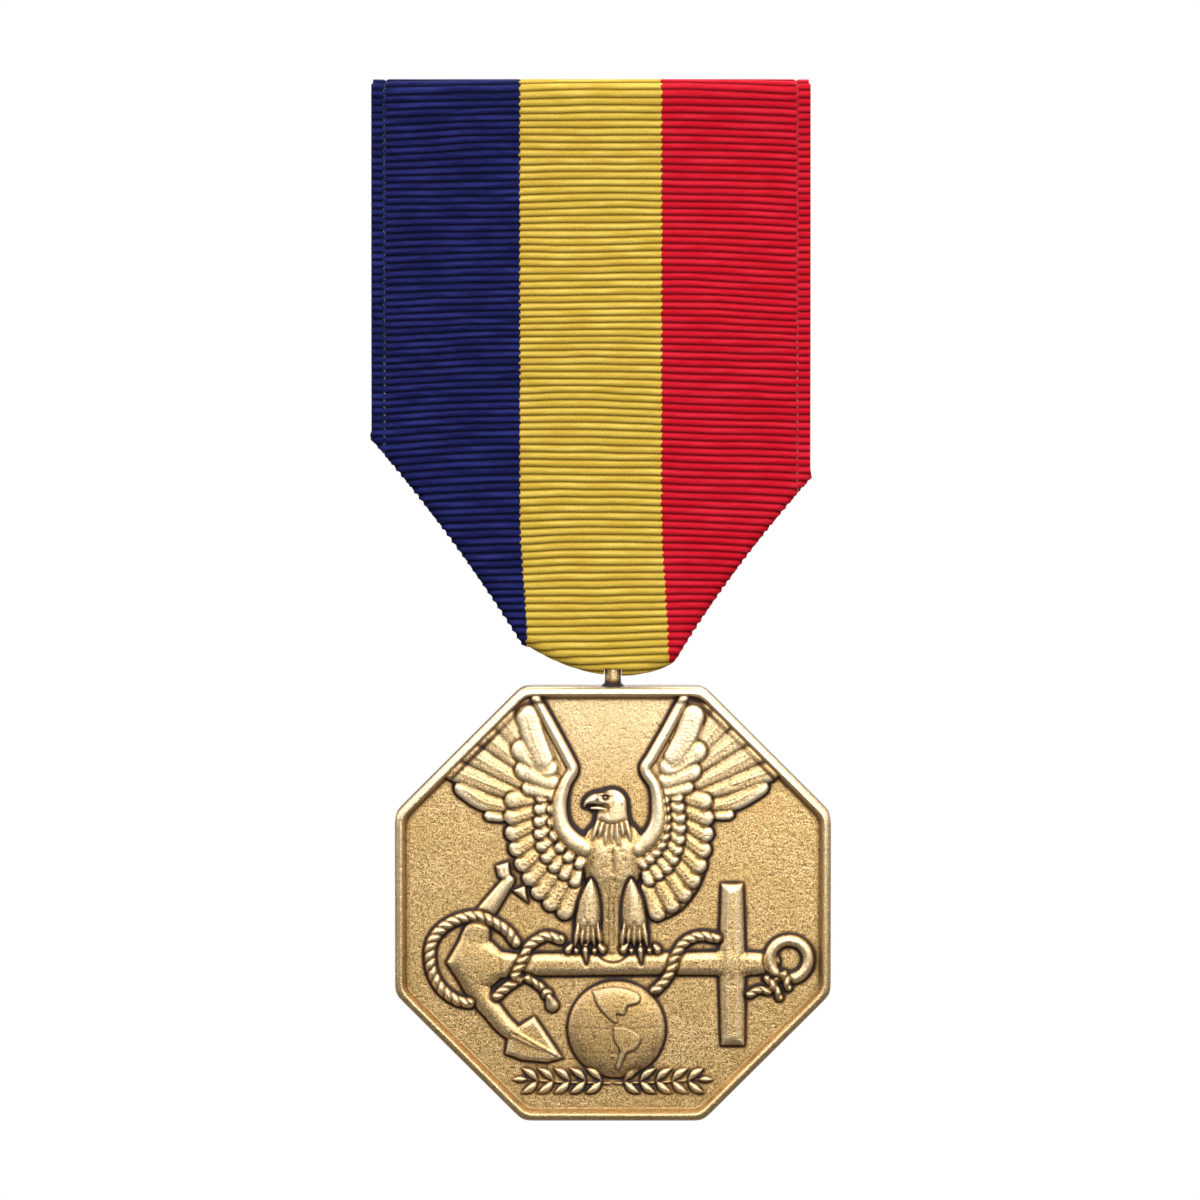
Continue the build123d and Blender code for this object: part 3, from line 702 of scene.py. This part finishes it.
def rounded_path(corners, spacing):
    """A path through (y, z, radius) corners with each turn rounded, as points at equal steps."""
    points = [np.array(corners[0][:2])]
    for before, corner, after in zip(corners[:-2], corners[1:-1], corners[2:]):
        a, b, c = (np.array(p[:2], float) for p in (before, corner, after))
        into, out = (b - a) / np.linalg.norm(b - a), (c - b) / np.linalg.norm(c - b)
        turn = math.acos(np.clip(into @ out, -1, 1))
        tangent = corner[2] * math.tan(turn / 2)
        start, end = b - into * tangent, b + out * tangent
        for t in np.linspace(0, 1, 24):
            if turn < 0.5:
                points.append((1 - t) ** 2 * start + 2 * t * (1 - t) * b + t**2 * end)
            else:
                points.append(arc(start, end, into, turn, corner[2], t))
    points.append(np.array(corners[-1][:2]))
    points = np.array(points)
    length = np.concatenate([[0], np.cumsum(np.hypot(*np.diff(points, axis=0).T))])
    at = np.linspace(0, length[-1], int(length[-1] / spacing) + 1)
    return at, np.interp(at, length, points[:, 0]), np.interp(at, length, points[:, 1])


def arc(start, end, into, turn, radius, t):
    """A point at share t of the circular turn from start to end."""
    left = np.array([-into[1], into[0]])
    sign = 1 if (end - start) @ left > 0 else -1
    centre = start + left * sign * radius
    angle = turn * t
    return centre - left * sign * radius * math.cos(angle) + into * radius * math.sin(angle)


def fold_corner(x, z, corner, toe):
    """Folds the cloth behind along the line from corner to toe. Returns x, z, and how far behind it went."""
    corner, toe = np.array(corner), np.array(toe)
    length = np.linalg.norm(toe - corner)
    along = (toe - corner) / length
    inward = np.array([-along[1], along[0]])
    if inward[0] * corner[0] > 0:
        inward = -inward
    t = ((x - corner[0]) * along[0] + (z - corner[1]) * along[1]) / length
    bulge = FOLD_HOLLOW * (1 - (2 * np.clip(t, 0, 1) - 1) ** 2)
    inside = (x - corner[0]) * inward[0] + (z - corner[1]) * inward[1] - bulge - CLOTH / 2
    radius = 0.26
    angle = np.clip((radius - inside) / radius, 0, math.pi)
    past = np.maximum(radius - math.pi * radius - inside, 0)
    folded = np.where(inside > radius, inside, radius - radius * np.sin(angle) + past)
    behind = radius * (1 - np.cos(angle))
    shift = folded - inside
    return x + shift * inward[0], z + shift * inward[1], behind


def ribbon_sheet():
    """Middle surface of the strip as grids of x, y, z, with the position across and along the cloth."""
    front, back = RIBBON_LOW[1] + CLOTH / 2, RIBBON_LOW[1] + CLOTH / 2 + PLY_STEP
    low, high = RIBBON_LOW[2] + CLOTH / 2, RIBBON_HIGH[2] - CLOTH / 2
    behind_rail = RIBBON_HIGH[1] - CLOTH / 2
    lean = front + 1.05
    lap_y = back + CLOTH + 0.06
    corners = [(back, LAP_HIGH - 0.4, 0), (back, low, PLY_STEP / 2), (front, low, PLY_STEP / 2),
               (front, -14.0, 60), (lean, high - 1.1, 3), (lean, high, 0.95), (behind_rail, high, 0.7),
               (behind_rail, SLOT_Z, 0.32), (back, SLOT_Z, 0.3), (back, LAP_HIGH + 1.6, 2),
               (lap_y, LAP_HIGH + 0.2, 2), (lap_y, LAP_LOW, 0)]
    spacing = RIB_PITCH / 6
    along, y, z = rounded_path(corners, spacing)
    half = (RIBBON_HIGH[0] - RIBBON_LOW[0]) / 2
    middle = np.linspace(-half + SELVAGE + 0.3, half - SELVAGE - 0.3, 90)
    beside_stem = PIVOT[0] - DRIFT + np.array([-SLIT_HALF, SLIT_HALF])
    edge = np.array([0, 0.05, 0.3, 0.6, SELVAGE - 0.15, SELVAGE - 0.03, SELVAGE + 0.03, SELVAGE + 0.12])
    across = np.sort(np.concatenate([-half + edge, middle, beside_stem, half - edge]))
    s, w = np.meshgrid(along, across, indexing="ij")
    y, z = np.repeat(y[:, None], len(across), 1), np.repeat(z[:, None], len(across), 1)
    in_slot = np.exp(-(((z - SLOT_Z) / 1.3) ** 2)) * smoothstep(back - 0.3, back, y)
    x = w * (1 - (1 - SLOT_SQUEEZE) * in_slot) + DRIFT * smoothstep(-29, -42, z)
    mid = (front + back) / 2
    sag = np.clip((-24 - z) / (-24 - low), 0, 1) ** 2
    dx = w - LOWEST_X
    reach_l, reach_r = LOWEST_X - LEFT_TOE[0], RIGHT_TOE[0] - LOWEST_X
    lift_l, lift_r = LEFT_TOE[1] - RIBBON_LOW[2], RIGHT_TOE[1] - RIBBON_LOW[2]
    lift = lift_l * np.clip(-dx / reach_l, 0, 1) ** 2 + lift_r * np.clip(dx / reach_r, 0, 1) ** 2
    z = z + sag * lift
    weave = s + sag * lift
    for corner, toe in ((LEFT_CORNER, LEFT_TOE), (RIGHT_CORNER, RIGHT_TOE)):
        x, z, off = fold_corner(x, z, corner, toe)
        y = mid + (y - mid) * (1 - off / (PLY_STEP / 2))
    return x, y, z, w, weave


def rib_heights(w, weave, half):
    """Rib phase, and rib height from 0 in a valley to 1 on a crest, with waviness and offset selvages."""
    wave = 0.22 * value_noise(w / 8.0, weave / 4.1, 11) + 0.07 * value_noise(w / 2.5, weave / 1.5, 12)
    wave = wave + 0.5 * value_noise(w / 19.0 + 5.3, weave / 17.0, 13) + 0.9 * (w / half) ** 2
    selvage = np.abs(w) > half - SELVAGE
    phase = weave / RIB_PITCH + np.where(selvage, 0.5, wave)
    crest = (1 - np.abs(2 * (phase % 1) - 1) ** 2.2) ** 0.6
    line = np.exp(-(((np.abs(w) - half + SELVAGE) / 0.1) ** 2))
    return phase, crest * np.where(selvage, 0.85, 1.0) * (1 - 0.8 * line)


def ribbon_mesh(material):
    x, y, z, w, weave = ribbon_sheet()
    half = (RIBBON_HIGH[0] - RIBBON_LOW[0]) / 2
    surface = np.stack([x, y, z], -1)
    normal = np.cross(np.gradient(surface, axis=1), np.gradient(surface, axis=0))
    normal /= np.maximum(np.linalg.norm(normal, axis=-1, keepdims=True), 1e-9)
    front_row = np.argmin(y[:, w.shape[1] // 2] + 0.01 * np.abs(z[:, w.shape[1] // 2] + 25))
    if normal[front_row, w.shape[1] // 2, 1] > 0:
        normal = -normal
    phase, height = rib_heights(w, weave, half)
    body = CLOTH / 2 - RIB_HEIGHT * 0.6
    outer = surface + normal * (body + RIB_HEIGHT * height)[..., None]
    outer[..., 0] += np.where(np.abs(w) > half - 0.1, 0.05 * np.sign(w) * (height - 0.9), 0)
    inner = surface - normal * (body + RIB_HEIGHT * 0.6)
    rows, columns = w.shape
    cell_x, cell_y = (x[:-1, :-1] + x[1:, 1:]) / 2, (y[:-1, :-1] + y[1:, 1:]) / 2
    slit = (np.abs(cell_x - PIVOT[0]) < SLIT_HALF) & (np.abs(cell_y - PIVOT[1]) < SLIT_HALF)
    slit &= z[:-1, :-1] < -40
    faces = sheet_faces(rows, columns, ~slit)
    used, faces = np.unique(faces, return_inverse=True)
    faces = faces.reshape(-1, 4)
    vertices = np.concatenate([outer.reshape(-1, 3), inner.reshape(-1, 3)])[used]
    flat = {"across": w, "along": weave, "rib": phase}
    attributes = {key: np.tile(values.ravel(), 2)[used] for key, values in flat.items()}
    return outward(make_object("ribbed_ribbon", vertices, faces, material, attributes))


def sheet_faces(rows, columns, keep):
    """Faces of a closed sheet from an outer and an inner grid, with walls round its edges and its holes."""
    total = rows * columns
    cells = grid_faces(rows, columns).reshape(rows - 1, columns - 1, 4)
    outer = cells[keep]
    inner = outer[:, ::-1] + total
    walls = []
    padded = np.pad(keep, 1)
    sides = ((0, 1, -1, 0), (1, 2, 0, 1), (2, 3, 1, 0), (3, 0, 0, -1))
    for corner_a, corner_b, row_step, column_step in sides:
        beside = padded[1 + row_step:rows + row_step, 1 + column_step:columns + column_step]
        edge = cells[keep & ~beside]
        a, b = edge[:, corner_a], edge[:, corner_b]
        walls.append(np.stack([b, a, a + total, b + total], -1))
    return np.vstack([outer, inner] + walls)


# ---- materials ----
class Nodes:
    """A short way to build a node material, or any other node tree."""

    def __init__(self, tree, material=None):
        self.tree, self.material = tree, material

    @classmethod
    def new(cls, name):
        material = bpy.data.materials.new(name)
        material.use_nodes = True
        return cls(material.node_tree, material)

    def add(self, kind, inputs=None, **settings):
        node = self.tree.nodes.new(kind)
        for key, value in settings.items():
            setattr(node, key, value)
        for key, value in (inputs or {}).items():
            self.put(node.inputs[key], value)
        return node

    def put(self, socket, value):
        if isinstance(value, bpy.types.NodeSocket):
            self.tree.links.new(value, socket)
        else:
            socket.default_value = value

    def attribute(self, name):
        return self.add("ShaderNodeAttribute", attribute_name=name).outputs["Fac"]

    def place(self):
        return self.add("ShaderNodeTexCoord").outputs["Object"]

    def math(self, operation, a, b=0.0, clamp=False):
        node = self.add("ShaderNodeMath", {0: a, 1: b}, operation=operation)
        node.use_clamp = clamp
        return node.outputs[0]

    def plus(self, a, b, clamp=False):
        return self.math("ADD", a, b, clamp=clamp)

    def minus(self, a, b):
        return self.math("SUBTRACT", a, b)

    def times(self, a, b):
        return self.math("MULTIPLY", a, b)

    def span(self, value, low, high, to_low=0.0, to_high=1.0):
        inputs = {"Value": value, "From Min": low, "From Max": high, "To Min": to_low, "To Max": to_high}
        return self.add("ShaderNodeMapRange", inputs).outputs["Result"]

    def mix(self, share, a, b, blend="MIX"):
        node = self.add("ShaderNodeMix", data_type="RGBA", blend_type=blend)
        for socket, value in zip((node.inputs[0], node.inputs[6], node.inputs[7]), (share, a, b)):
            self.put(socket, value)
        return node.outputs[2]

    def noise(self, vector, scale, detail=2.0, roughness=0.5):
        inputs = {"Vector": vector, "Scale": scale, "Detail": detail, "Roughness": roughness}
        return self.add("ShaderNodeTexNoise", inputs).outputs["Fac"]

    def bump(self, height, distance, strength=1.0):
        inputs = {"Height": height, "Distance": distance, "Strength": strength}
        return self.add("ShaderNodeBump", inputs).outputs["Normal"]

    def finish(self, **values):
        for key, value in values.items():
            self.put(self.tree.nodes["Principled BSDF"].inputs[key.replace("_", " ")], value)
        return self.material


def srgb(red, green, blue):
    """A linear colour from 0 to 255 display values."""
    return tuple(((c / 255 + 0.055) / 1.055) ** 2.4 for c in (red, green, blue)) + (1.0,)


def bronze_nodes(nodes, patina, worn):
    """Antique bronze: pale where worn and where highlights are painted on, brown-gold on the field,
    blue-black where patina has settled.
    """
    place = nodes.place()
    speckle = nodes.noise(place, 8500, 2, 0.8)
    cloud = nodes.noise(place, 230, 3, 0.6)
    gold = nodes.mix(nodes.span(speckle, 0.38, 0.62), srgb(124, 94, 50), srgb(238, 203, 146))
    gold = nodes.mix(nodes.span(cloud, 0.35, 0.65, 0, 0.4), gold, srgb(176, 142, 78))
    # Painted highlight and wear: a pale colour mixed in by the wear and highlight share.
    gold = nodes.mix(nodes.span(worn, 0.15, 1.0, 0.0, 0.75), gold, srgb(255, 238, 206))
    dusky = nodes.mix(nodes.span(patina, 0.12, 0.55), gold, srgb(104, 76, 44))
    colour = nodes.mix(nodes.span(patina, 0.48, 0.85), dusky, srgb(36, 26, 30))
    rough = nodes.plus(nodes.span(speckle, 0.3, 0.7, 0.32, 0.48), nodes.times(patina, 0.2))
    metallic = nodes.span(patina, 0.5, 0.95, 0.96, 0.4)
    return nodes.finish(Base_Color=colour, Metallic=metallic, Roughness=rough,
                        Normal=nodes.bump(speckle, 0.000022, 1.0))


def bronze():
    nodes = Nodes.new("antique_bronze")
    return bronze_nodes(nodes, nodes.attribute("patina"), nodes.attribute("worn"))


def stem_bronze():
    """The same bronze, darkest where the stem meets the pendant."""
    nodes = Nodes.new("stem_bronze")
    height = nodes.add("ShaderNodeSeparateXYZ", {0: nodes.place()}).outputs["Z"]
    foot = PENDANT_HIGH[2] * MM
    dark = nodes.span(height, foot + 0.15 * MM, foot + 0.7 * MM, 0.95, 0.12)
    return bronze_nodes(nodes, dark, 0.25)


def ribbon_cloth():
    """Blue, yellow and red stripes with painted shade between the ribs, painted highlights on the crests,
    fine warp threads and a painted moire sheen.
    """
    nodes = Nodes.new("ribbon_cloth")
    across, along, rib = (nodes.attribute(key) for key in ("across", "along", "rib"))
    place = nodes.add("ShaderNodeCombineXYZ", {"X": across, "Y": along}).outputs[0]
    fold = nodes.math("ABSOLUTE", nodes.minus(nodes.math("FRACT", rib), 0.5))
    fall = nodes.math("POWER", nodes.times(fold, 2), 1.9)
    crest = nodes.math("POWER", nodes.minus(1.0, fall), 0.9)
    ragged = nodes.times(nodes.minus(nodes.noise(place, 3.5, 1), 0.5), 0.26)
    scallop = nodes.math("SINE", nodes.times(rib, TAU))
    ragged = nodes.plus(ragged, nodes.times(scallop, 0.06))
    edge = nodes.plus(across, ragged)
    lit_and_shaded_tones = {
        # Each stripe has a painted shade tone for the rib valleys, its own middle tone, and a painted
        # highlight tone for the crests.
        "blue": (srgb(1, 1, 10), srgb(14, 18, 60), srgb(40, 44, 108)),
        "yellow": (srgb(84, 62, 8), srgb(182, 150, 50), srgb(214, 188, 92)),
        "red": (srgb(70, 0, 8), srgb(174, 10, 28), srgb(198, 36, 54)),
    }
    slant = nodes.plus(across, nodes.times(along, 0.35))
    threads = nodes.math("SINE", nodes.times(slant, TAU / THREAD_PITCH))
    fuzz = nodes.noise(place, 11.0, 2, 0.8)
    drawn_out = nodes.times(across, 0.16)
    streaks = nodes.add("ShaderNodeCombineXYZ", {"X": drawn_out, "Y": along}).outputs[0]
    # Painted moire sheen: brighter streaks along the ribs that scale the painted crest highlight.
    moire_sheen = nodes.noise(streaks, 1.6, 3, 0.6)
    painted_crest_highlight = nodes.times(nodes.span(crest, 0.4, 1.0), nodes.span(moire_sheen, 0.42, 0.66, 0.12, 1.0))
    uneven = nodes.times(nodes.minus(fuzz, 0.5), 0.9)
    painted_crest_highlight = nodes.plus(painted_crest_highlight, uneven, clamp=True)
    fine = nodes.times(threads, 0.07)
    # Painted shade: the colour falls to the dark tone in the valleys between the ribs.
    valley = nodes.plus(nodes.span(crest, 0.05, 0.8), fine, clamp=True)

    def shade(dark, middle, light):
        return nodes.mix(nodes.times(painted_crest_highlight, 0.8), nodes.mix(valley, dark, middle), light)

    blue, yellow, red = (shade(*lit_and_shaded_tones[key]) for key in ("blue", "yellow", "red"))
    colour = nodes.mix(nodes.span(edge, YELLOW_LEFT - 0.03, YELLOW_LEFT + 0.03), blue, yellow)
    colour = nodes.mix(nodes.span(edge, YELLOW_RIGHT - 0.03, YELLOW_RIGHT + 0.03), colour, red)
    from_middle = nodes.math("ABSOLUTE", across)
    seam = nodes.math("ABSOLUTE", nodes.minus(from_middle, BREADTH / 2 - SELVAGE))
    stitch = nodes.times(nodes.span(seam, 0.05, 0.09, 1.0, 0.0), nodes.span(fuzz, 0.5, 0.6))
    stitch = nodes.times(stitch, nodes.span(crest, 0.3, 0.7, 1.0, 0.0))
    colour = nodes.mix(nodes.times(stitch, 0.45), colour, srgb(214, 206, 200))
    height = nodes.plus(nodes.times(crest, 2.0), nodes.times(threads, 0.25))
    height = nodes.plus(height, nodes.times(fuzz, 0.8))
    return nodes.finish(Base_Color=colour, Roughness=0.8, Specular_IOR_Level=0.06,
                        Normal=nodes.bump(height, 0.00004, 0.8))


def thread_cloth():
    """Pale twisted sewing thread."""
    nodes = Nodes.new("sewing_thread")
    place = nodes.place()
    split = nodes.add("ShaderNodeSeparateXYZ", {0: place})
    turn = nodes.plus(nodes.times(split.outputs["X"], TAU / (0.35 * MM)),
                      nodes.times(split.outputs["Z"], 9000))
    twist = nodes.span(nodes.math("SINE", turn), -1, 1)
    colour = nodes.mix(nodes.times(twist, 0.8), srgb(120, 96, 50), srgb(206, 184, 128))
    return nodes.finish(Base_Color=colour, Roughness=0.8, Sheen_Weight=0.3,
                        Normal=nodes.bump(twist, 0.00006, 1.0))


def brushed_metal(name, light, dark, roughness, across=(1, 1, 14)):
    """Satin metal with fine drawn lines, faint tarnish clouds and a few dark specks."""
    nodes = Nodes.new(name)
    place = nodes.place()
    drawn = nodes.add("ShaderNodeMapping", {"Vector": place, "Scale": across}).outputs[0]
    lines = nodes.noise(drawn, 900, 3, 0.6)
    cloud = nodes.noise(place, 170, 4, 0.6)
    specks = nodes.span(nodes.noise(place, 2600, 1), 0.68, 0.74)
    colour = nodes.mix(nodes.span(cloud, 0.35, 0.68), light, dark)
    colour = nodes.mix(nodes.times(specks, 0.6), colour, srgb(50, 38, 26))
    rough = nodes.plus(nodes.span(lines, 0.3, 0.7, roughness - 0.06, roughness + 0.08),
                       nodes.span(cloud, 0.4, 0.7, 0, 0.12))
    return nodes.finish(Base_Color=colour, Metallic=1.0, Roughness=rough,
                        Normal=nodes.bump(lines, 0.00001, 0.8))


# ---- object ----
def dress_brooch():
    brass = brushed_metal("brooch_brass", srgb(214, 178, 108), srgb(176, 138, 78), 0.34, across=(1, 1, 14))
    steel = brushed_metal("pin_steel", srgb(206, 206, 204), srgb(168, 168, 168), 0.24, across=(1, 20, 20))
    thread = thread_cloth()
    finishes = {"brooch_plate": brass, "hinge_bracket": brass, "catch_housing": brass, "catch_lock": brass,
                "hinge_rivet": steel, "brooch_pin": steel, "lap_stitches": thread, "fold_stitches": thread,
                "suspension_bar": stem_bronze()}
    for node, material in finishes.items():
        mesh = frame["nodes"][node].data
        mesh.materials.clear()
        mesh.materials.append(material)


def build_medal():
    pendant = pendant_mesh(bronze())
    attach(pendant, "pendant")
    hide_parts("planchet")
    ribbon = ribbon_mesh(ribbon_cloth())
    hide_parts("ribbon")
    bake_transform(ribbon)
    dress_brooch()


# ---- stage ----
def area_light(name, place, target, size, power):
    data = bpy.data.lights.new(name, "AREA")
    data.shape = "RECTANGLE"
    data.size, data.size_y = size
    data.energy = power
    obj = bpy.data.objects.new(name, data)
    obj.location = place
    obj.rotation_euler = (Vector(target) - Vector(place)).to_track_quat("-Z", "Y").to_euler()
    obj.visible_camera = False
    bpy.context.scene.collection.objects.link(obj)


def lights():
    middle = (0.0, 0.0, -0.037)
    area_light("key", (0.025, -0.15, -0.0175), (0.0, 0.0, -0.045), (0.1, 0.04), 0.128)
    area_light("side", (0.36, -0.3, 0.06), middle, (0.1, 0.3), 0.3)
    area_light("edge", (-0.3, -0.12, 0.12), middle, (0.1, 0.3), 0.36)
    area_light("back", (0.1, 0.45, 0.25), middle, (0.3, 0.3), 1.6)
    world = bpy.data.worlds.new("soft_room")
    world.use_nodes = True
    room = Nodes(world.node_tree)
    direction = room.add("ShaderNodeSeparateXYZ", {0: room.add("ShaderNodeTexCoord").outputs["Generated"]})
    above = room.span(direction.outputs["Z"], 0.0, 0.8, 0.2, 2.6)
    behind = room.span(direction.outputs["Y"], 0.0, 0.8, 0.0, 0.7)
    seen = room.add("ShaderNodeLightPath").outputs["Is Camera Ray"]
    glow = room.math("MAXIMUM", room.math("MAXIMUM", above, behind), seen)
    background = world.node_tree.nodes["Background"]
    background.inputs["Color"].default_value = (1.0, 1.0, 1.0, 1.0)
    room.put(background.inputs["Strength"], glow)
    bpy.context.scene.world = world


def camera():
    """A long lens from the front, a little above level, framed with room round the medal."""
    data = bpy.data.cameras.new("camera")
    view_width, distance, rise = 0.0957, 0.8, math.radians(4.5)
    data.sensor_width = 36
    data.lens = data.sensor_width * distance / view_width
    aim = Vector((0.00072, PENDANT_MIDDLE[1] * MM, -0.0364))
    obj = bpy.data.objects.new("camera", data)
    obj.location = aim + Vector((0, -distance * math.cos(rise), distance * math.sin(rise)))
    obj.rotation_euler = (aim - obj.location).to_track_quat("-Z", "Y").to_euler()
    bpy.context.scene.collection.objects.link(obj)
    bpy.context.scene.camera = obj
    bpy.context.scene.view_settings.view_transform = "Standard"


build_medal()
lights()
camera()
